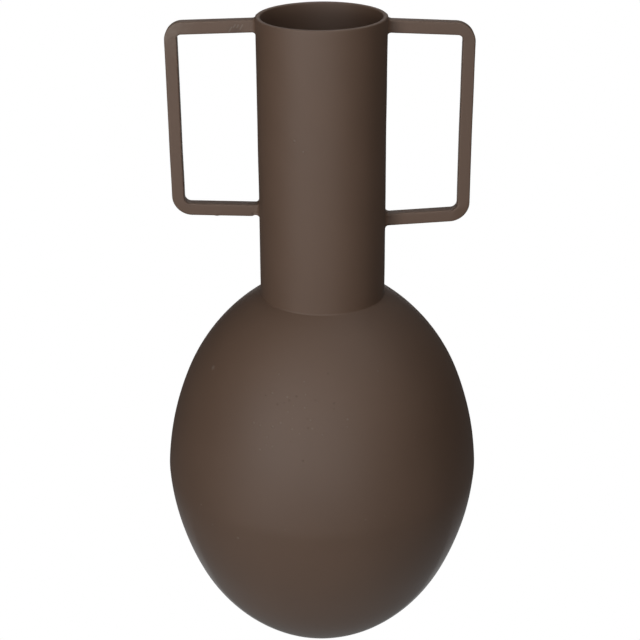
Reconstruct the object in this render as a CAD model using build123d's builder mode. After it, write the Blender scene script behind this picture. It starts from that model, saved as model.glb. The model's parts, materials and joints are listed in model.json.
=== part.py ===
from build123d import *
import os

# A metal urn vase: a straight tube neck set in an egg-shaped belly, with a bent bar handle on each side.
# Sizes are in millimetres. +Z is up, the origin is the centre of the flat base, and the handles lie along X.

# Belly: two spun shells that meet at the girth, measured on the outside
girth_radius = 107.0
girth_height = 122.7
shoulder_height = 249.0
base_radius = 44.8
foot_round = 16.0
shell_wall = 2.0

# Belly curves: the rounded girth, the long curve above it and the long curve below it
knuckle_round = 59.0
knuckle_angle = 3.75
upper_side_round = 197.3
upper_side_angle = 18.8
lower_side_round = 188.2
lower_side_angle = 21.8

# Neck: a straight tube that stands in the hole at the top of the belly
neck_radius = 41.5
neck_wall = 3.0
neck_rise = 185.3
neck_insert = 5.0
neck_fit = 0.1
rim_round = 0.8

# Handles: square bar with rounded edges, bent cold to a C and never quite true
bar_size = 8.0
bar_edge_round = 0.9
bend_round = 6.0

# Left handle: drop of its upper bar below the rim, how far that bar falls outwards, height between its
# bends, how far its lower bar rises outwards, and how far each bend stands from the neck
left_drop = 5.3
left_fall = 1.7
left_span = 118.8
left_rise = 1.1
left_upper_reach = 53.2
left_lower_reach = 52.6

# Right handle: the same sizes
right_drop = 5.5
right_fall = 1.8
right_span = 122.6
right_rise = 3.5
right_upper_reach = 51.0
right_lower_reach = 50.8

# Welds: the gap that the girth weld fills, and the legs and toe thickness of the fillet welds
girth_gap = 3.0
neck_weld_leg = 3.0
handle_weld_leg = 2.4
weld_toe = 0.3

rim_height = shoulder_height + neck_rise

os.makedirs("parts", exist_ok=True)


def save(builder, label):
    """Label a finished piece and write it."""
    builder.part.label = label
    export_step(builder.part, f"parts/{label}.step")
    print(f"{label}: {builder.part.volume / 1000:.2f} cm3")


# Wall of the whole belly in section, out from the axis: the outside line is a chain of tangent arcs from
# the neck to the flat base, and the inside follows it one wall away
with BuildSketch(Plane.XZ) as belly_section:
    with BuildLine() as belly_line:
        knuckle_above = JernArc((girth_radius, girth_height), (0, 1), knuckle_round, knuckle_angle)
        side_above = JernArc(knuckle_above @ 1, knuckle_above % 1, upper_side_round, upper_side_angle)
        shoulder = TangentArc(side_above @ 1, (neck_radius, shoulder_height), tangent=side_above % 1)
        knuckle_below = JernArc((girth_radius, girth_height), (0, -1), knuckle_round, -knuckle_angle)
        side_below = JernArc(knuckle_below @ 1, knuckle_below % 1, lower_side_round, -lower_side_angle)
        bottom = TangentArc(side_below @ 1, (base_radius, 0), tangent=side_below % 1)
        Line(bottom @ 1, (0, 0))
        fillet(belly_line.vertices().sort_by_distance((base_radius, 0))[0], foot_round)
        offset(amount=shell_wall, side=Side.LEFT)
    make_face()

# Where the girth weld starts and ends, as cuts across the belly's section
girth_top = Plane.ZX.offset(girth_height + girth_gap / 2)
girth_bottom = Plane.ZX.offset(girth_height - girth_gap / 2)

# Upper shell: the belly above the girth weld, with a round hole for the neck
with BuildPart() as upper_shell:
    with BuildSketch(Plane.XZ):
        add(belly_section.sketch_local)
        split(bisect_by=girth_top, keep=Keep.TOP)
        Rectangle(neck_radius + neck_fit, rim_height, align=Align.MIN, mode=Mode.SUBTRACT)
    revolve(axis=Axis.Z)
save(upper_shell, "upper_shell")

# Lower shell: the belly below the girth weld, with the flat base that the vase stands on
with BuildPart() as lower_shell:
    with BuildSketch(Plane.XZ):
        add(belly_section.sketch_local)
        split(bisect_by=girth_bottom, keep=Keep.BOTTOM)
    revolve(axis=Axis.Z)
save(lower_shell, "lower_shell")

# Girth weld: fills the gap between the two shells and is dressed flush with them
with BuildPart() as girth_weld:
    with BuildSketch(Plane.XZ):
        add(belly_section.sketch_local)
        split(bisect_by=girth_top, keep=Keep.BOTTOM)
        split(bisect_by=girth_bottom, keep=Keep.TOP)
    revolve(axis=Axis.Z)
save(girth_weld, "girth_weld")

# Neck tube: stands in the hole of the upper shell and reaches a little way into the belly
with BuildPart() as neck_tube:
    with BuildSketch(Plane.XY.offset(shoulder_height - neck_insert)):
        Circle(neck_radius)
        Circle(neck_radius - neck_wall, mode=Mode.SUBTRACT)
    extrude(amount=neck_insert + neck_rise)
    fillet(neck_tube.edges().group_by(Axis.Z)[-1], rim_round)
save(neck_tube, "neck_tube")

# Neck weld: a fillet weld in the corner between the neck and the shoulder
with BuildPart() as neck_weld:
    with BuildSketch(Plane.XZ):
        with BuildLine():
            toe = 1 - neck_weld_leg / shoulder.length
            add(shoulder.trim(toe, 1))
            on_neck = Line(shoulder @ 1, (neck_radius, shoulder_height + neck_weld_leg))
            Line(on_neck @ 1, shoulder @ toe)
        make_face()
    revolve(axis=Axis.Z)
save(neck_weld, "neck_weld")

# Outside of the neck as a plain cylinder, for cutting back what is welded to it
with BuildPart() as neck_outside:
    with BuildSketch(Plane.XY.offset(shoulder_height)):
        Circle(neck_radius)
    extrude(amount=neck_rise)


def handle_corners(side, drop, fall, span, rise, upper_reach, lower_reach):
    """Corners of a handle's centre line in the XZ plane, from its upper seat on the neck to its lower one."""
    seat_x = side * neck_radius
    upper_seat = Vector(seat_x, 0, rim_height - drop)
    upper_bend = Vector(seat_x + side * upper_reach, 0, upper_seat.Z - fall)
    lower_bend = Vector(seat_x + side * lower_reach, 0, upper_bend.Z - span)
    lower_seat = Vector(seat_x, 0, lower_bend.Z - rise)
    return upper_seat, upper_bend, lower_bend, lower_seat


def seat_plane(seat, bend, distance):
    """Plane across a bar at a distance along it from its seat on the neck, facing away from the neck."""
    along = (bend - seat).normalized()
    return Plane(origin=seat + along * distance, x_dir=(0, 1, 0), z_dir=along)


def make_handle(corners):
    """A square bar bent along its corners, with both ends cut to sit on the neck."""
    upper_seat, upper_bend, lower_bend, lower_seat = corners
    upper_end = seat_plane(upper_seat, upper_bend, -bar_size / 2)
    lower_end = seat_plane(lower_seat, lower_bend, -bar_size / 2)
    with BuildPart() as handle:
        with BuildLine():
            FilletPolyline(upper_end.origin, upper_bend, lower_bend, lower_end.origin, radius=bend_round)
        with BuildSketch(upper_end):
            RectangleRounded(bar_size, bar_size, bar_edge_round)
        sweep()
        add(neck_outside.part, mode=Mode.SUBTRACT)
    return handle


def make_handle_weld(seat, bend, handle):
    """A fillet weld all round the end of a bar, which stops short of the rim's rounding."""
    slope = (handle_weld_leg - weld_toe) / handle_weld_leg
    with BuildPart() as weld:
        for distance in (-handle_weld_leg, handle_weld_leg):
            width = weld_toe + slope * (handle_weld_leg - distance)
            with BuildSketch(seat_plane(seat, bend, distance)):
                RectangleRounded(bar_size + 2 * width, bar_size + 2 * width, bar_edge_round + width)
        loft()
        split(bisect_by=Plane.XY.offset(rim_height - rim_round), keep=Keep.BOTTOM)
        add(neck_outside.part, mode=Mode.SUBTRACT)
        add(handle.part, mode=Mode.SUBTRACT)
    return weld


handles = {
    "left": handle_corners(
        -1, left_drop, left_fall, left_span, left_rise, left_upper_reach, left_lower_reach
    ),
    "right": handle_corners(
        1, right_drop, right_fall, right_span, right_rise, right_upper_reach, right_lower_reach
    ),
}

# Handles and their welds, two welds to a handle
for name, corners in handles.items():
    upper_seat, upper_bend, lower_bend, lower_seat = corners
    handle = make_handle(corners)
    save(handle, f"{name}_handle")
    save(make_handle_weld(upper_seat, upper_bend, handle), f"{name}_upper_weld")
    save(make_handle_weld(lower_seat, lower_bend, handle), f"{name}_lower_weld")
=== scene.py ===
# %% [markdown]
# # An urn vase in brown powder coat
# The real vase is welded from plain stock. Two spun shells make the egg-shaped belly, a tube makes the
# neck, and a bent square bar makes each handle. One matte brown coat covers all of it.
# This lesson dresses the packed model of that vase. Every piece is rebuilt as a fine mesh in the place that
# the model gives it, then coated, lit and seen through the photograph's own camera.

import json
import math

import bmesh
import bpy
import numpy as np
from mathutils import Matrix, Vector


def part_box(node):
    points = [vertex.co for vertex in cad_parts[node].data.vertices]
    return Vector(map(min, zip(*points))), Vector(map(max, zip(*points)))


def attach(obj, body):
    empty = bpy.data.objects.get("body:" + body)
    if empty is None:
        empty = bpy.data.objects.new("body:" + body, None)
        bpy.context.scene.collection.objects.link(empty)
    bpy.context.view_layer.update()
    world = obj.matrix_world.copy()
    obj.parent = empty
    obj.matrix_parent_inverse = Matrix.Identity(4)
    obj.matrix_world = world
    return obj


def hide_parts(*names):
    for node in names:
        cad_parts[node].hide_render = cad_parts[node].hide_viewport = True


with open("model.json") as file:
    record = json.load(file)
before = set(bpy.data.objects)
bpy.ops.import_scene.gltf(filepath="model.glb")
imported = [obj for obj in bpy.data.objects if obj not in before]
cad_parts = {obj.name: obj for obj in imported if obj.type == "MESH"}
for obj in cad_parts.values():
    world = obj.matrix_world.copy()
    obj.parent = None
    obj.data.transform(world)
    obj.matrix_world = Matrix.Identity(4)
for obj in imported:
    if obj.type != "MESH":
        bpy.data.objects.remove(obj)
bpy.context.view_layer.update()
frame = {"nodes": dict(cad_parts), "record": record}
print("pieces in the frame:", ", ".join(sorted(frame["nodes"])))

# %% [markdown]
# ## Camera
# The camera comes first, because every later step is judged through it. The photograph looks down past the
# rim through a long lens, from about a metre away. Lens, height and tilt could be guessed and nudged, but
# they hang together, so they were found all at once, as the set that lays the vase's outline on the
# photograph's. The Standard view shows colours as they are, which a product picture on white needs.

# %% Camera at the photograph's viewing angle
picture_side = 640
focal_pixels = 1513.6
axis_pixel = 322.1
camera_back = 0.9413
camera_above_rim = 0.2040
camera_tilt = 23.57

rim_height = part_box("neck_tube")[1].z
camera_data = bpy.data.cameras.new("photo_camera")
camera_data.lens = camera_data.sensor_width * focal_pixels / picture_side
camera_data.shift_x = (picture_side / 2 - axis_pixel) / picture_side
camera = bpy.data.objects.new("photo_camera", camera_data)
camera.location = (0, -camera_back, rim_height + camera_above_rim)
camera.rotation_euler = (math.radians(90 - camera_tilt), 0, 0)
bpy.context.scene.collection.objects.link(camera)
bpy.context.scene.camera = camera
bpy.context.scene.view_settings.view_transform = "Standard"
print(f"lens {camera_data.lens:.1f} mm, {camera_above_rim * 1000:.0f} mm above the rim")

# %% [markdown]
# ## Shader sums
# A finish is mostly arithmetic on patterns: this noise times that mask, one minus the rest. Nodes can be
# wired by hand for that, but a page of links hides the sum. So one small class wraps a node's output, and
# Python's own operators add the Math nodes. Every other kind of node comes from its one method, `node`.


# %% An output that can be used in sums
class Shade:
    """One output of a shader node. Sums of such outputs add Math nodes to the same tree."""

    def __init__(self, tree, output=None):
        self.tree = tree
        self.output = output

    def node(self, kind, settings=None, sockets=None, take=0):
        """Add any node: its settings first, then its sockets' values or links. Gives the output to take."""
        made = self.tree.nodes.new("ShaderNode" + kind)
        for name, value in (settings or {}).items():
            setattr(made, name, value)
        for name, value in (sockets or {}).items():
            socket = self.pick(made.inputs, name)
            if isinstance(value, Shade):
                self.tree.links.new(value.output, socket)
            else:
                socket.default_value = value
        return Shade(self.tree, self.pick(made.outputs, take))

    @staticmethod
    def pick(sockets, name):
        """A socket in use, by its name or by its place in the list."""
        in_use = [socket for socket in sockets if socket.enabled]
        if isinstance(name, int):
            return in_use[name] if name < len(in_use) else None
        return next(socket for socket in in_use if socket.name == name)

    def math(self, operation, first, second):
        return self.node("Math", {"operation": operation}, {0: first, 1: second})

    def clip(self):
        """The same value, kept between 0 and 1."""
        return self.node("Clamp", None, {"Value": self})

    def __add__(self, other):
        return self.math("ADD", self, other)

    def __radd__(self, other):
        return self.math("ADD", other, self)

    def __sub__(self, other):
        return self.math("SUBTRACT", self, other)

    def __rsub__(self, other):
        return self.math("SUBTRACT", other, self)

    def __mul__(self, other):
        return self.math("MULTIPLY", self, other)

    def __rmul__(self, other):
        return self.math("MULTIPLY", other, self)


print("operators:", [name for name in vars(Shade) if name.startswith("__r") or name in ("math", "clip")])

# %% [markdown]
# ## Powder coat
# Powder coat is a plastic film, melted on. It is matte, and it is never one flat brown: the film is a bit
# thicker here and thinner there, and flows into a faint orange peel. Dust leaves nibs and pinholes in it.
# Along sharp edges it pulls thin and gets rubbed, so those turn a shade lighter. Painted shade darkens the
# inside of the mouth, and towards the base the film has run, so it lies thicker and glossier there.
# A picture of a coat could be wrapped round the vase, but patterns in space need no unwrapping and meet at
# the seams between pieces. So every pattern here is read at the point's own place on the vase, in metres.

# %% Patterns in space, and masks at a place
cloud_size = 0.060
cloud_detail = 3.0
peel_size = 0.0022
grain_size = 0.0005
scratch_width = 0.0005


def noise(shade, place, size, detail=2.0):
    """Noise with lumps of about one size, in metres."""
    return shade.node("TexNoise", None, {"Vector": place, "Scale": 1 / size, "Detail": detail})


def near(shade, place, centre, radius):
    """A mask that is 1 at a centre and fades to 0 at a radius from it."""
    apart = shade.node("VectorMath", {"operation": "DISTANCE"}, {0: place, 1: centre}, "Value")
    return (1 - apart * (1 / radius)).clip()


def streak(shade, place, start, end):
    """A mask that is 1 along a scratch and fades to 0 at a scratch's width beside it."""
    run = np.subtract(end, start)
    per_run = run / (run @ run)
    ahead = shade.node("VectorMath", {"operation": "SUBTRACT"}, {0: place, 1: start})
    share = shade.node("VectorMath", {"operation": "DOT_PRODUCT"}, {0: ahead, 1: per_run}, "Value")
    on_line = shade.node("VectorMath", {"operation": "SCALE"}, {0: run, "Scale": share.clip()})
    return near(shade, ahead, on_line, scratch_width)


print("masks ready, scratches", scratch_width * 1000, "mm wide to either side")

# %% Dust that settled in the film
nib_spacing = 0.0040
nib_reach = 0.25
nib_slope = 6.4
stray_chance = 0.02
dusty_chance = 0.75
pinhole_share = 0.6
dust_contrast = 40


def dust(shade, place, centre, radius):
    """Masks of nibs and of pinholes, a few anywhere and many near a centre. Each cell of the pattern has
    its luck, from 0 to 1: those with the least get a nib, and those with the most get a pinhole."""
    cells = {"Vector": place, "Scale": 1 / nib_spacing}
    apart = shade.node("TexVoronoi", None, cells, "Distance")
    luck = shade.node("SeparateColor", None, {"Color": shade.node("TexVoronoi", None, cells, "Color")})
    chance = stray_chance + dusty_chance * near(shade, place, centre, radius)
    spot = ((nib_reach - apart) * nib_slope).clip()
    nibs = ((chance - luck) * dust_contrast).clip() * spot
    pinholes = ((luck + chance * pinhole_share - 1) * dust_contrast).clip() * spot
    return nibs, pinholes


print(f"nibs and pinholes up to {2000 * nib_reach * nib_spacing:.0f} mm across")

# %% Shades of the coat, and how far each pattern moves them
coat_deep = (0.139, 0.0800, 0.0495, 1)
coat_pale = (0.169, 0.0978, 0.0615, 1)
# Rubbed wear and the painted highlights both turn to this paler shade
coat_rubbed_and_lit = (0.225, 0.165, 0.125, 1)
# Real pinholes and pits, and the painted shade inside the mouth, all turn to this dark shade
coat_thin_and_shade = (0.080, 0.0400, 0.0220, 1)
# Every noise swings about this value, and moves shade and roughness by these shares of its swing
noise_middle = 0.5
cloud_tone = 1.1
grain_tone = 0.4
cloud_matte = 0.10
grain_matte = 0.06
# Relief, as multiples of the bump's depth
peel_height = 0.08
grain_height = 0.03
nib_height = 2.0
bump_strength = 0.35
bump_depth = 0.0004
# Rubbing starts where the peel stands above a height, and nibs and scratches are rubbed too
rub_start = 0.25
rub_contrast = 2.4
nib_rub = 0.55
scratch_rub = 6
# How dark the thin film is in a pinhole, and how deep the painted shade is inside the mouth
pinhole_thin = 0.3
mouth_shade = 0.6
# Shine of the film, and heights on the vase between which the run towards the base begins
film_shine = 1.0
run_top = 0.120
run_full = 0.060
run_gloss = 0.9
run_roughness = 0.15


def blend(shade, share, under, over):
    """A colour that goes from the one under to the one over by a share."""
    return shade.node("Mix", {"data_type": "RGBA"}, {"Factor": share.clip(), "A": under, "B": over})


print("the film's run begins at", run_top * 1000, "mm and is full at", run_full * 1000, "mm")


# %% Brown powder coat
def powder_coat(name, matte, pale=0.0, rub=0.0, dusty=None, specks=(), scratches=(), painted_highlights=(), pits=()):
    """The coat on one kind of surface: how matte, how much paler as painted light, and how rubbed at its
    edges it is, where dust settled in it, and where it has single specks, scratches, painted highlights and
    pits."""
    material = bpy.data.materials.new(name)
    material.use_nodes = True
    material.node_tree.nodes.clear()
    shade = Shade(material.node_tree)
    place = shade.node("TexCoord", take="Object")
    cloud = noise(shade, place, cloud_size, cloud_detail)
    peel = noise(shade, place, peel_size)
    grain = noise(shade, place, grain_size)
    up = shade.node("SeparateXYZ", None, {"Vector": place}, "Z")
    edge = shade.node("Attribute", {"attribute_name": "edge"}, None, "Fac")
    # The bore's inside mark says where painted shade darkens the mouth
    inside = shade.node("Attribute", {"attribute_name": "inside"}, None, "Fac")
    raised = 0.0
    rubbed_and_lit = edge * rub * (peel - rub_start) * rub_contrast
    # Painted shade inside the mouth, to which real pinholes and pits add below
    thin_and_shade = inside * mouth_shade
    for centre, radius in specks:
        speck = near(shade, place, centre, radius)
        raised = raised + speck * nib_height
        rubbed_and_lit = rubbed_and_lit + speck
    if dusty:
        nibs, pinholes = dust(shade, place, *dusty)
        raised = raised + (nibs - pinholes) * nib_height
        rubbed_and_lit = rubbed_and_lit + nibs * nib_rub
        thin_and_shade = thin_and_shade + pinholes * pinhole_thin
    for start, end in scratches:
        rubbed_and_lit = rubbed_and_lit + streak(shade, place, start, end) * grain * scratch_rub
    # Painted highlights, mixed in as paler coat
    for centre, radius in painted_highlights:
        rubbed_and_lit = rubbed_and_lit + near(shade, place, centre, radius) * peel
    for centre, radius, depth in pits:
        thin_and_shade = thin_and_shade + near(shade, place, centre, radius) * depth
    clouds = cloud - noise_middle
    grains = grain - noise_middle
    # A pale share lifts the whole brown as painted light, on the neck and the bars
    tone = noise_middle + pale + clouds * cloud_tone + grains * grain_tone
    brown = blend(shade, tone, coat_deep, coat_pale)
    paler = blend(shade, rubbed_and_lit, brown, coat_rubbed_and_lit)
    colour = blend(shade, thin_and_shade, paler, coat_thin_and_shade)
    height = peel * peel_height + grain * grain_height + raised
    bump = shade.node("Bump", None, {"Height": height, "Strength": bump_strength, "Distance": bump_depth})
    coat = shade.node("BsdfPrincipled", None, {
        "Base Color": colour,
        "Roughness": matte + clouds * cloud_matte + grains * grain_matte,
        "Normal": bump,
        "Specular IOR Level": film_shine,
        "Coat Weight": ((run_top - up) * (1 / (run_top - run_full))).clip() * run_gloss,
        "Coat Roughness": run_roughness,
    })
    shade.node("OutputMaterial", None, {"Surface": coat})
    return material


print("powder coat ready, in deep, pale, rubbed and thin shades")

# %% [markdown]
# ## Marks in the coat
# The real coat has a dusty patch on the belly, single specks, a few scratches over a dark smudge on the
# left handle, and a pit at a weld. One bend of that handle gets a painted highlight, a patch of paler coat.
# Marks could be scattered at random, but the eye finds these in the photograph, so each is given one by
# one: where it lies on the vase, in metres, how far it reaches, and for a pit how dark it is.

# %% Marks, and the coats of shells, neck, bars and welds
belly_dust = ((-0.0145, -0.0860, 0.200), 0.036)
belly_specks = [((-0.0720, -0.0377, 0.2099), 0.0022), ((-0.0550, -0.0910, 0.1118), 0.0012)]
neck_specks = [((-0.0174, -0.0378, 0.3651), 0.0010), ((-0.0118, -0.0398, 0.3586), 0.0009)]
bar_scratches = [
    ((-0.0581, -0.004, 0.4256), (-0.0564, -0.004, 0.4284)),
    ((-0.0553, -0.004, 0.4284), (-0.0541, -0.004, 0.4299)),
    ((-0.0531, -0.004, 0.4282), (-0.0522, -0.004, 0.4298)),
    ((-0.0511, -0.004, 0.4272), (-0.0496, -0.004, 0.4298)),
]
# A painted highlight on the upper left bend
bar_bend_highlight = [((-0.0945, -0.004, 0.4265), 0.018)]
bar_pits = [((-0.0458, -0.004, 0.3054), 0.0014, 1.0), ((-0.0540, -0.004, 0.4262), 0.0060, 0.5)]
shell_coat = powder_coat("shell_coat", matte=0.65, dusty=belly_dust, specks=belly_specks)
# Neck and bars are made paler than the shells as painted light
neck_coat = powder_coat("neck_coat", matte=0.65, pale=0.25, rub=0.2, specks=neck_specks)
bar_coat = powder_coat(
    "bar_coat", matte=0.63, pale=0.3, rub=0.2, scratches=bar_scratches, painted_highlights=bar_bend_highlight, pits=bar_pits)
weld_coat = powder_coat("weld_coat", matte=0.66)
print("finishes:", shell_coat.name, neck_coat.name, bar_coat.name, weld_coat.name)

# %% [markdown]
# ## From rings to a piece
# Tube, spun shell, bar and weld have one thing in common: each is a skin over a row of rings. A lathe or a
# sweep could be left to modifiers, but then nothing could be uneven. So the rings are worked out as plain
# arrays, bent as the real piece is bent, and one function stretches the mesh over them.
# The sheet of the real vase is not quite true either: welding pulled the neck and the belly a hair out of
# line, and spinning left the faintest waves. `settle` moves every point the same way, so that joints stay
# closed.

# %% Sizes that the frame gives, and the hair's breadth that the welder left
mm = 0.001
neck_low, neck_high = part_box("neck_tube")
seam_low, seam_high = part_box("girth_weld")
shoulder_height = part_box("upper_shell")[1].z
neck_radius = neck_high.x
girth_radius = seam_high.x
girth_height = (seam_low.z + seam_high.z) / 2
seam_half = (seam_high.z - seam_low.z) / 2
neck_mouth = next(mount for mount in frame["record"]["mounts"] if mount["name"] == "neck_mouth")
bore_radius = neck_mouth["dims"]["r_mm"] * mm

bow_heights = (0, shoulder_height, rim_height)
bow_shifts = (-0.37 * mm, 0.34 * mm, -0.39 * mm)
# Waves fade out within a radius. Each has a depth, by its count round the vase and its count up a metre
wave_radius = 30 * mm
wave_depths = {(2, 4): 0.06 * mm, (3, 9): 0.05 * mm, (5, 17): 0.03 * mm, (8, 26): 0.02 * mm}


def settle(points):
    """Points as welding and spinning left them: bowed along the vase and waved round it."""
    x, y, z = points[..., 0], points[..., 1], points[..., 2]
    angle = np.arctan2(y, x)
    wave = np.clip(np.hypot(x, y) / wave_radius, 0, 1) * sum(
        depth * np.sin(round_it * angle + 2 * math.pi * up_it * z + round_it)
        for (round_it, up_it), depth in wave_depths.items()
    )
    bow = np.interp(z, bow_heights, bow_shifts)
    return np.stack([x + bow + wave * np.cos(angle), y + wave * np.sin(angle), z], axis=-1)


print(f"neck {2000 * neck_radius:.0f} mm and girth {2000 * girth_radius:.0f} mm across")
print(f"height {1000 * rim_height:.0f} mm")

# %% A skin over rings, coated and set in the frame
crease_angle = math.radians(35)
same_place = 1e-7


def skin(name, node, rings, coat, joined=True, marks=None):
    """A piece over a row of equal rings that stands for a node. A joined row meets itself, others get end
    caps. Marks are values round a ring that the coat reads by their name."""
    rows, points = rings.shape[:2]
    index = np.arange(rows * points).reshape(rows, points)
    here, there = (index, np.roll(index, -1, axis=0)) if joined else (index[:-1], index[1:])
    faces = np.stack([here, np.roll(here, -1, axis=1), np.roll(there, -1, axis=1), there], axis=-1)
    faces = faces.reshape(-1, 4).tolist()
    if not joined:
        faces += [index[0].tolist(), index[-1].tolist()]
    mesh = bpy.data.meshes.new(name)
    mesh.from_pydata(settle(rings).reshape(-1, 3).tolist(), [], faces)
    for mark, values in (marks or {}).items():
        stored = mesh.attributes.new(mark, "FLOAT", "POINT")
        stored.data.foreach_set("value", np.broadcast_to(values, (rows, points)).astype(np.float32).ravel())
    clean(mesh)
    mesh.shade_smooth()
    mesh.set_sharp_from_angle(angle=crease_angle)
    mesh.materials.append(coat)
    piece = bpy.data.objects.new(name, mesh)
    bpy.context.scene.collection.objects.link(piece)
    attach(piece, "root")
    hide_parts(node)
    print(f"{name}: {len(mesh.polygons)} faces")


def clean(mesh):
    """Join points that fall together on the axis, drop loose edges, and face all sides outwards."""
    shape = bmesh.new()
    shape.from_mesh(mesh)
    bmesh.ops.remove_doubles(shape, verts=shape.verts, dist=same_place)
    loose = [edge for edge in shape.edges if not edge.link_faces]
    bmesh.ops.delete(shape, geom=loose, context="EDGES")
    bmesh.ops.recalc_face_normals(shape, faces=shape.faces)
    shape.to_mesh(mesh)
    shape.free()


print("skin ready, with creases from", round(math.degrees(crease_angle)), "degrees")

# %% Rings turned round the vase's axis
turn_steps = 192


def turned(outline):
    """Rings of an outline of (radius, height) points, turned round the vase's axis."""
    turn = np.linspace(0, 2 * math.pi, turn_steps, endpoint=False)[:, None]
    radius, height = outline[:, 0], outline[:, 1]
    return np.stack([radius * np.cos(turn), radius * np.sin(turn), height + 0 * turn], axis=-1)


print("a full turn has", turn_steps, "rings")

# %% [markdown]
# ## Belly
# The belly is spun from sheet as two shells and welded together at the girth, where a soft knuckle still
# shows. Its outline is a chain of arcs, each starting the way the last one ended, so that no ridge shows
# between them. A free curve with handles would also do, but arcs are how such a tool is turned, and they
# take few numbers.
# A line here is rows of radius, reach above or below the girth, and lean, the angle by which the wall has
# turned in. The lean also says which way is out, and so where the inside of the sheet lies.

# %% Arcs of the belly
shell_wall = 2.0 * mm
knuckle_round = 59.0 * mm
knuckle_turn = math.radians(3.75)
seam_lean = math.asin(seam_half / knuckle_round)
arc_steps = {"knuckle": 6, "side": 32, "shoulder": 40, "bottom": 36, "foot": 12}


def add_arc(line, bend, turn, steps):
    """Carry a line on by one arc, starting the way the line ends."""
    radius, reach, lean = line[-1]
    leans = lean + turn * np.arange(1, steps + 1) / steps
    radii = radius + bend * (np.cos(leans) - math.cos(lean))
    reaches = reach + bend * (np.sin(leans) - math.sin(lean))
    return np.vstack([line, np.column_stack([radii, reaches, leans])])


def arc_to(line, end_radius, end_reach):
    """Bend and turn of the one arc that carries a line on to a given point."""
    radius, reach, lean = line[-1]
    across, along = end_radius - radius, end_reach - reach
    inward = -across * math.cos(lean) - along * math.sin(lean)
    onward = along * math.cos(lean) - across * math.sin(lean)
    return (across ** 2 + along ** 2) / (2 * inward), 2 * math.atan2(inward, onward)


def shell_side(side_round, side_turn):
    """Outside of a shell from the girth weld over the knuckle and along its long side."""
    start = [girth_radius - knuckle_round * (1 - math.cos(seam_lean)), seam_half, seam_lean]
    line = add_arc(np.array([start]), knuckle_round, knuckle_turn - seam_lean, arc_steps["knuckle"])
    return add_arc(line, side_round, side_turn, arc_steps["side"])


def sheet_outline(line, way):
    """Closed outline of the sheet behind a line, outside out and inside back, up (1) or down (-1)."""
    radius, reach, lean = line.T
    outside = np.column_stack([radius, reach])
    inside = np.column_stack([radius - shell_wall * np.cos(lean), reach - shell_wall * np.sin(lean)])
    outline = np.vstack([outside, inside[::-1]])
    outline[:, 1] = girth_height + way * outline[:, 1]
    return outline


print(f"the girth weld turns the wall by {2 * math.degrees(seam_lean):.1f} degrees")

# %% Upper shell, with the hole that the neck stands in
upper_side_round = 197.3 * mm
upper_side_turn = math.radians(18.8)
hole_gap = 0.1 * mm
hole_radius = neck_radius + hole_gap

upper_line = shell_side(upper_side_round, upper_side_turn)
shoulder_arc = arc_to(upper_line, hole_radius, shoulder_height - girth_height)
upper_line = add_arc(upper_line, *shoulder_arc, arc_steps["shoulder"])
shoulder_lean = upper_line[-1, 2]
upper_outline = sheet_outline(upper_line, 1)
upper_outline[:, 0] = np.maximum(upper_outline[:, 0], hole_radius)
skin("belly_top", "upper_shell", turned(upper_outline), shell_coat)

# %% Lower shell, with the flat base that the vase stands on
lower_side_round = 188.2 * mm
lower_side_turn = math.radians(21.8)
base_corner = 44.8 * mm
foot_round = 16.0 * mm
base_shares = np.array([[0.75], [0.5], [0.25], [0.0]])
at_axis = 1e-9

lower_line = shell_side(lower_side_round, lower_side_turn)
bottom_round, _ = arc_to(lower_line, base_corner, girth_height)
side_end = lower_line[-1]
bottom_centre = girth_height - side_end[1] + bottom_round * math.sin(side_end[2])
foot_lean = math.asin((bottom_centre - foot_round) / (bottom_round - foot_round))
lower_line = add_arc(lower_line, bottom_round, foot_lean - side_end[2], arc_steps["bottom"])
lower_line = add_arc(lower_line, foot_round, math.pi / 2 - foot_lean, arc_steps["foot"])
base_rings = lower_line[-1, 0] * base_shares
flat = np.hstack([base_rings, np.tile(lower_line[-1, 1:], (len(base_rings), 1))])
lower_outline = sheet_outline(np.vstack([lower_line, flat]), -1)
lower_outline[:, 0] = np.where(lower_outline[:, 0] < at_axis, 0, lower_outline[:, 0])
skin("belly_bottom", "lower_shell", turned(lower_outline), shell_coat)
print(f"the flat base is {2000 * lower_line[-1, 0]:.0f} mm across")

# %% Girth weld, dressed flush between the shells
seam_steps = 9
weld_leans = np.linspace(-seam_lean, seam_lean, seam_steps)
girth_line = np.column_stack([
    girth_radius - knuckle_round * (1 - np.cos(weld_leans)), knuckle_round * np.sin(weld_leans), weld_leans
])
skin("belly_seam", "girth_weld", turned(sheet_outline(girth_line, 1)), shell_coat)

# %% [markdown]
# ## Neck
# The neck is a length of tube. Its mouth was sawn a little out of square and the two edges were broken with
# a file, which the coat then rounded a little more. A plain tube would do from afar, but that soft lip is
# what catches the light, so it is modelled and not left sharp. Lip and bore are marked for the coat: the
# lip is rubbed a shade lighter, and the bore is darkened with painted shade.

# %% Neck tube with a rounded lip
rim_round = 0.8 * mm
mouth_shade_reach = 8 * mm
wall_steps = 60
lip_steps = 7

wall_heights = np.linspace(neck_low.z, rim_height - rim_round, wall_steps)
quarter = np.linspace(0, math.pi / 2, lip_steps)
outer_lip = np.column_stack([
    neck_radius - rim_round * (1 - np.cos(quarter)), rim_height - rim_round * (1 - np.sin(quarter))
])
inner_lip = np.column_stack([
    bore_radius + rim_round * (1 - np.sin(quarter)), rim_height - rim_round * (1 - np.cos(quarter))
])
outer_wall = np.column_stack([np.full_like(wall_heights, neck_radius), wall_heights])
inner_wall = np.column_stack([np.full_like(wall_heights, bore_radius), wall_heights[::-1]])
neck_outline = np.vstack([outer_wall[:-1], outer_lip, inner_lip, inner_wall[1:]])
lip_marks = (neck_outline[:, 1] > rim_height - rim_round).astype(float)
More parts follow.
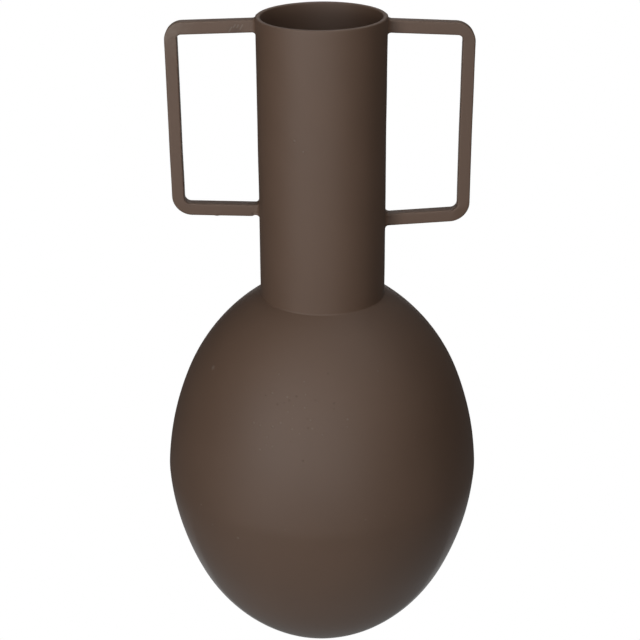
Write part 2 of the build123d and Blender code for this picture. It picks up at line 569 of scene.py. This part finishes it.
# The painted shade in the bore deepens over a reach below the lip
depth_inside = np.clip((rim_height - rim_round - neck_outline[:, 1]) / mouth_shade_reach, 0, 1)
mouth_shade_marks = np.where(neck_outline[:, 0] < bore_radius + rim_round / 2, depth_inside, 0)
print("neck outline:", len(neck_outline), "points, of which on the lip", int(lip_marks.sum()))

# %% The mouth's slanted cut, and the neck
mouth_middle = 0.52 * mm
mouth_to_right = 0.26 * mm
mouth_to_back = 0.39 * mm


def mouth_lift(x, y):
    """How far the mouth stands above a square cut at a place on the neck."""
    return mouth_middle + (mouth_to_right * x + mouth_to_back * y) / neck_radius


neck_rings = turned(neck_outline)
up_neck = np.clip((neck_rings[..., 2] - shoulder_height) / (rim_height - shoulder_height), 0, 1)
neck_rings[..., 2] += up_neck * mouth_lift(neck_rings[..., 0], neck_rings[..., 1])
# The inside marks carry the painted shade of the mouth to the coat
skin("neck", "neck_tube", neck_rings, neck_coat, marks={"edge": lip_marks, "inside": mouth_shade_marks})

# %% [markdown]
# ## Weld between neck and shoulder
# A fillet weld fills the corner between tube and shell. On the vase it was ground and coated, so only a
# soft, slightly uneven hollow is left. A bevel would be dead even; here the two legs of the fillet vary
# round the neck, and a curve that leaves both walls smoothly spans between them.

# %% Fillet curve and the ripple of a hand-run weld
fillet_steps = np.linspace(0, 1, 8)[:, None]
ripple_shares = {3: 0.40, 7: 0.30, 13: 0.20, 29: 0.10}


def fillet(toe_a, corner, toe_b):
    """Points of the hollow curve from toe to toe, smooth with the two walls that meet at the corner."""
    share = fillet_steps
    return toe_a * (1 - share) ** 2 + corner * 2 * share * (1 - share) + toe_b * share ** 2


def ripple(turn, amount, seed):
    """Uneven factor about 1 along a weld, the same at both ends of a full turn."""
    return 1 + amount * sum(
        share * np.sin(count * turn + seed * count) for count, share in ripple_shares.items())


print("a weld ripples", ", ".join(str(count) for count in ripple_shares), "times over a turn")

# %% Neck weld
neck_weld_leg = 1.0 * mm
neck_weld_rough = 0.60
neck_toe_seed = 0.7
shoulder_toe_seed = 2.1
toe_sink = 0.08 * mm
root_sink = 0.5 * mm
weld_steps = 360

shoulder_way = np.array([math.sin(shoulder_lean), -math.cos(shoulder_lean)])
shoulder_out = np.array([math.cos(shoulder_lean), math.sin(shoulder_lean)])
corner = np.array([neck_radius, shoulder_height])
neck_weld_rings = []
for turn in np.linspace(0, 2 * math.pi, weld_steps, endpoint=False):
    neck_leg = neck_weld_leg * ripple(turn, neck_weld_rough, neck_toe_seed)
    shoulder_leg = neck_weld_leg * ripple(turn, neck_weld_rough, shoulder_toe_seed)
    toe_on_neck = corner + [-toe_sink, neck_leg]
    toe_on_shoulder = corner + shoulder_way * shoulder_leg - shoulder_out * toe_sink
    root = corner - shoulder_out * root_sink
    section = np.vstack([fillet(toe_on_neck, corner, toe_on_shoulder), root])
    around = np.array([math.cos(turn), math.sin(turn)])
    neck_weld_rings.append(np.column_stack([section[:, :1] * around, section[:, 1]]))
skin("neck_seam", "neck_weld", np.array(neck_weld_rings), weld_coat)

# %% [markdown]
# ## Handles
# Each handle is square bar, bent cold to a C and welded to the neck. No two bends come out alike, so the
# left and right handles have sizes of their own. A curve with a bevel could carry the section round, but
# at a tight bend real bar swells on the inside and draws in on the outside, so the rings are made one by
# one. The left handle's lower bar has a drop of coat on it and a pit at its weld, and both are pushed into
# the finished rings.

# %% The bar's section and the lines that it runs between
bar_half = 4.0 * mm
bar_round = 0.9 * mm
run_steps = 44
bend_steps = 16


def bar_outline(corner_steps, flat_steps):
    """Points round the bar's section, across and outwards, and the way out from each."""
    points, ways = [], []
    for quarter_turn in range(4):
        turn = math.pi / 2 * (quarter_turn + np.linspace(0, 1, corner_steps + 1))
        way = np.column_stack([np.cos(turn), np.sin(turn)])
        centre = (bar_half - bar_round) * np.sign(way[corner_steps // 2])
        start = centre + bar_round * way
        next_start = np.array([-start[0, 1], start[0, 0]])
        share = np.arange(1, flat_steps)[:, None] / flat_steps
        points += [start, start[-1] + share * (next_start - start[-1])]
        ways += [way, np.repeat(way[-1:], flat_steps - 1, axis=0)]
    return np.vstack(points), np.vstack(ways)


def bent_line(corners, side, offset, bends):
    """A line beside the corners' own line, at an offset to its outside, its corners rounded to bends."""
    legs = np.diff(corners, axis=0)
    legs = legs / np.linalg.norm(legs, axis=1)[:, None]
    outs = side * np.column_stack([-legs[:, 1], legs[:, 0]])
    start = corners[0] + offset * outs[0]
    line = []
    for number, bend in enumerate(bends):
        leg, next_leg, corner = legs[number], legs[number + 1], corners[number + 1]
        out, next_out = outs[number], outs[number + 1]
        turn = math.acos(leg @ next_leg)
        stop = corner + offset * (out + next_out) / (1 + out @ next_out) - leg * bend * math.tan(turn / 2)
        line += [start + share * (stop - start) for share in np.linspace(0, 1, run_steps)]
        centre = stop - out * bend
        parts = np.linspace(0, turn, bend_steps + 2)
        line += [centre + bend * (out * math.cos(part) + leg * math.sin(part)) for part in parts[1:-1]]
        start = centre + bend * next_out
    stop = corners[-1] + offset * outs[-1]
    line += [start + share * (stop - start) for share in np.linspace(0, 1, run_steps)]
    return np.array(line)


bar_section, bar_ways = bar_outline(corner_steps=6, flat_steps=4)
print("bar section:", len(bar_section), "points")

# %% Sizes of the left and the right handle
# Lengths are in millimetres. A swell is a share of the bar's width
handle_sizes = {
    "left": dict(side=-1, drop=5.3, fall=1.7, span=118.8, rise=1.1, upper=53.2, lower=52.6),
    "right": dict(side=1, drop=5.5, fall=1.8, span=122.6, rise=3.5, upper=51.0, lower=50.8),
}
bar_bends = {
    "left": dict(outer=(11.5, 13.0), inner=(2.4, 4.0), swell=(0.14, 0.06)),
    "right": dict(outer=(12.5, 13.0), inner=(3.2, 4.0), swell=(0.05, 0.12)),
}


def handle_corners(side, drop, fall, span, rise, upper, lower):
    """Corners of a handle's centre line, across and up, from its upper seat on the neck to its lower one.
    The upper seat lies a drop below the rim, and the bends a span apart. Upper and lower say how far the
    bends reach out, fall how far the upper bar sinks on its way out, and rise how far the lower climbs."""
    upper_seat = np.array([side * neck_radius, rim_height - drop * mm])
    upper_bend = upper_seat + [side * upper * mm, -fall * mm]
    lower_bend = np.array([side * (neck_radius + lower * mm), upper_bend[1] - span * mm])
    lower_seat = np.array([side * neck_radius, lower_bend[1] - rise * mm])
    return np.array([upper_seat, upper_bend, lower_bend, lower_seat])


for name, sizes in handle_sizes.items():
    print(f"{name} handle spans {sizes['span']} mm and reaches out {sizes['upper']} mm")

# %% Rings of a handle
seat_sink = 0.05 * mm


def on_neck(across):
    """How far out the neck's wall is at a place across it, with the hair's breadth that pieces sink in."""
    return np.sqrt((neck_radius - seat_sink) ** 2 - across ** 2)


def handle_rings(side, corners, bends):
    """Rings of a bent bar whose two ends are cut to sit on the neck."""
    outer = bent_line(corners, side, bar_half, [bend * mm for bend in bends["outer"]])
    inner = bent_line(corners, side, -bar_half, [bend * mm for bend in bends["inner"]])
    bulge = np.zeros(len(outer))
    hump = np.sin(math.pi * np.arange(1, bend_steps + 1) / (bend_steps + 1))
    for number, swell in enumerate(bends["swell"]):
        first = run_steps + number * (run_steps + bend_steps)
        bulge[first:first + bend_steps] = swell * hump
    outwards = (bar_section[:, 1] + bar_half) / (2 * bar_half)
    across = bar_section[:, 0] * (1 + bulge[:, None] * (1 - 2 * outwards))
    x = inner[:, :1] + (outer - inner)[:, :1] * outwards
    z = inner[:, 1:] + (outer - inner)[:, 1:] * outwards
    for end in (0, -1):
        x[end] = side * on_neck(across[end])
    return np.stack([x, across, z], axis=-1)


print("each bar runs over", 3 * run_steps + 2 * bend_steps, "rings")

# %% Flaws in the skin, and both handles
# In millimetres: what a flaw is centred on, how far it reaches, and how far it pushes the skin
coat_drop = dict(centre=(-69.2, -3.4, 305.3), radius=1.4, push=0.7)
weld_pit = dict(centre=(-43.0, -3.2, 302.2), radius=1.9, push=2.6)
# A way out of the bar with no part above this belongs to a rounded edge
flat_way = 0.97


def with_flaw(rings, centre, radius, push):
    """Rings pushed away from a centre: one below the skin raises a drop, and one above it presses a pit."""
    away = rings - np.array(centre) * mm
    apart = np.linalg.norm(away, axis=-1, keepdims=True)
    return rings + away / apart * push * mm * np.exp(-(apart / (radius * mm)) ** 2)


edge_marks = (np.abs(bar_ways).max(axis=1) < flat_way).astype(float)
for name, sizes in handle_sizes.items():
    rings = handle_rings(sizes["side"], handle_corners(**sizes), bar_bends[name])
    rings = with_flaw(with_flaw(rings, **coat_drop), **weld_pit)
    skin(f"handle_{name}", f"{name}_handle", rings, bar_coat, joined=False, marks={"edge": edge_marks})

# %% [markdown]
# ## Welds at the handles' ends
# Each bar end has a fillet weld all round it. A ring could be bent round the bar, but it would look like a
# part and not like a weld. So it is the same hollow curve as at the neck, now run round a square with one
# toe on the bar and the other on the round wall of the tube. At the top there is hardly any tube left above
# the bar, so the upper welds stop at the lip.

# %% Fillet welds round the bar ends
lip_clear = 0.15 * mm
inner_sink = 0.3 * mm
weld_section, weld_ways = bar_outline(corner_steps=8, flat_steps=16)
# The fillet's legs above, below and beside a bar, in millimetres, and how uneven they are
handle_welds = {
    ("left", "upper"): dict(above=2.4, below=1.9, beside=4.0, rough=0.15, seed=0.4),
    ("left", "lower"): dict(above=3.2, below=0.9, beside=3.6, rough=0.35, seed=1.9),
    ("right", "upper"): dict(above=2.8, below=2.0, beside=4.0, rough=0.15, seed=2.6),
    ("right", "lower"): dict(above=2.8, below=2.7, beside=4.0, rough=0.20, seed=3.3),
}


def bar_weld_rings(side, seat, bend, up, above, below, beside, rough, seed):
    """Rings of a fillet weld round a bar's end, which sits on the neck at a seat and runs to a bend."""
    heading = (bend - seat) / np.linalg.norm(bend - seat)
    outward = up * np.array([-heading[1], heading[0]]) * side
    turns = np.linspace(0, 2 * math.pi, len(weld_section), endpoint=False)
    rings = []
    for place, way, turn in zip(weld_section, weld_ways, turns):
        upright = up * way[1]
        leg = mm * (beside + ((above if upright > 0 else below) - beside) * upright ** 2)
        neck_leg = leg * ripple(turn, rough, seed)
        bar_leg = leg * ripple(turn, rough, seed + 1)
        foot = place + way * neck_leg
        lip = rim_height + mouth_lift(side * neck_radius, foot[0]) - lip_clear
        foot_height = min((seat + outward * foot[1])[1], lip)
        toe_on_neck = np.array([side * on_neck(foot[0]), foot[0], foot_height])
        height = (seat + outward * place[1])[1]
        corner = np.array([side * on_neck(place[0]), place[0], height])
        toe_on_bar = corner + np.array([heading[0], 0, heading[1]]) * bar_leg
        sunk = np.array([-side, -way[0], -way[1] * outward[1]]) * inner_sink
        rings.append(np.vstack([fillet(toe_on_neck, corner, toe_on_bar), toe_on_bar + sunk, corner + sunk]))
    return np.array(rings)


for (name, level), shape in handle_welds.items():
    corners, side = handle_corners(**handle_sizes[name]), handle_sizes[name]["side"]
    seat, bend, up = (corners[0], corners[1], 1) if level == "upper" else (corners[3], corners[2], -1)
    rings = with_flaw(bar_weld_rings(side, seat, bend, up, **shape), **weld_pit)
    skin(f"seam_{name}_{level}", f"{name}_{level}_weld", rings, weld_coat)

# %% [markdown]
# ## Floor and light
# The photograph is a product shot on pure white. A lit floor would need to be overexposed to look like
# that, and would throw its glare on the vase, so floor and backdrop glow by themselves and only the camera
# sees them.
# The vase itself is lit by soft boxes. One bright sky would be simpler, but it would leave the round forms
# flat. Two key lights and a fill stand in front, one high at the side and three behind. A narrow strip
# hangs overhead, so that the upper bars keep its light off the lower ones, and two panels give the light
# that a white floor would send back.

# %% White floor and backdrop
floor_radius = 8.0
floor_corners = 96
backdrop_radius = 12.0
backdrop_detail = 4


def stage_piece(name, build):
    """A glowing white surface that only the camera sees."""
    shape = bmesh.new()
    build(shape)
    mesh = bpy.data.meshes.new(name)
    shape.to_mesh(mesh)
    shape.free()
    white = bpy.data.materials.new(name + "_white")
    white.use_nodes = True
    white.node_tree.nodes.clear()
    shade = Shade(white.node_tree)
    shade.node("OutputMaterial", None, {"Surface": shade.node("Emission", None, {"Color": (1, 1, 1, 1)})})
    mesh.materials.append(white)
    piece = bpy.data.objects.new(name, mesh)
    bpy.context.scene.collection.objects.link(piece)
    piece.visible_diffuse = piece.visible_glossy = piece.visible_shadow = False


stage_piece("floor", lambda shape: bmesh.ops.create_circle(
    shape, cap_ends=True, segments=floor_corners, radius=floor_radius))
stage_piece("backdrop", lambda shape: bmesh.ops.create_icosphere(
    shape, subdivisions=backdrop_detail, radius=backdrop_radius))
print("floor and backdrop in place")

# %% Soft lights
light_target = np.array([0, 0, 0.24])
lights = {
    "key_low": dict(azimuth=-37, height=-2, distance=1.6, wide=0.35, high=0.80, watts=4.65),
    "key_high": dict(azimuth=-32, height=28, distance=0.9, wide=0.25, high=0.45, watts=1.54),
    "front_fill": dict(azimuth=8, height=12, distance=1.6, wide=0.35, high=1.40, watts=6.00),
    "high_side": dict(azimuth=60, height=60, distance=1.6, wide=0.90, high=0.90, watts=2.90),
    "high_back": dict(azimuth=180, height=45, distance=1.6, wide=0.90, high=0.90, watts=2.60),
    "back_right": dict(azimuth=150, height=20, distance=1.6, wide=0.90, high=0.90, watts=0.27),
    "back_low": dict(azimuth=180, height=-5, distance=1.6, wide=0.90, high=0.90, watts=4.00),
    "overhead": dict(azimuth=0, height=90, distance=0.6, wide=0.50, high=0.04, watts=0.26),
    "floor_behind": dict(azimuth=180, height=-35, distance=0.6, wide=1.40, high=0.60, watts=0.31),
    "floor_below": dict(azimuth=0, height=-90, distance=0.27, wide=0.90, high=0.50, watts=0.23),
}


def soft_light(name, azimuth, height, distance, wide, high, watts):
    """A soft box that faces the vase, at an azimuth from the camera's side and a height, in degrees."""
    data = bpy.data.lights.new(name, "AREA")
    data.shape = "RECTANGLE"
    data.size = wide
    data.size_y = high
    data.energy = watts
    light = bpy.data.objects.new(name, data)
    turn, lift = math.radians(azimuth), math.radians(height)
    light.location = light_target + distance * np.array([
        math.sin(turn) * math.cos(lift), -math.cos(turn) * math.cos(lift), math.sin(lift)
    ])
    light.rotation_euler = (math.pi / 2 - lift, 0, turn)
    light.visible_camera = False
    bpy.context.scene.collection.objects.link(light)


for name, setting in lights.items():
    soft_light(name, **setting)
world = bpy.data.worlds.new("studio_air")
world.use_nodes = True
world.node_tree.nodes["Background"].inputs["Strength"].default_value = 0.0
bpy.context.scene.world = world
print("lights:", ", ".join(lights))
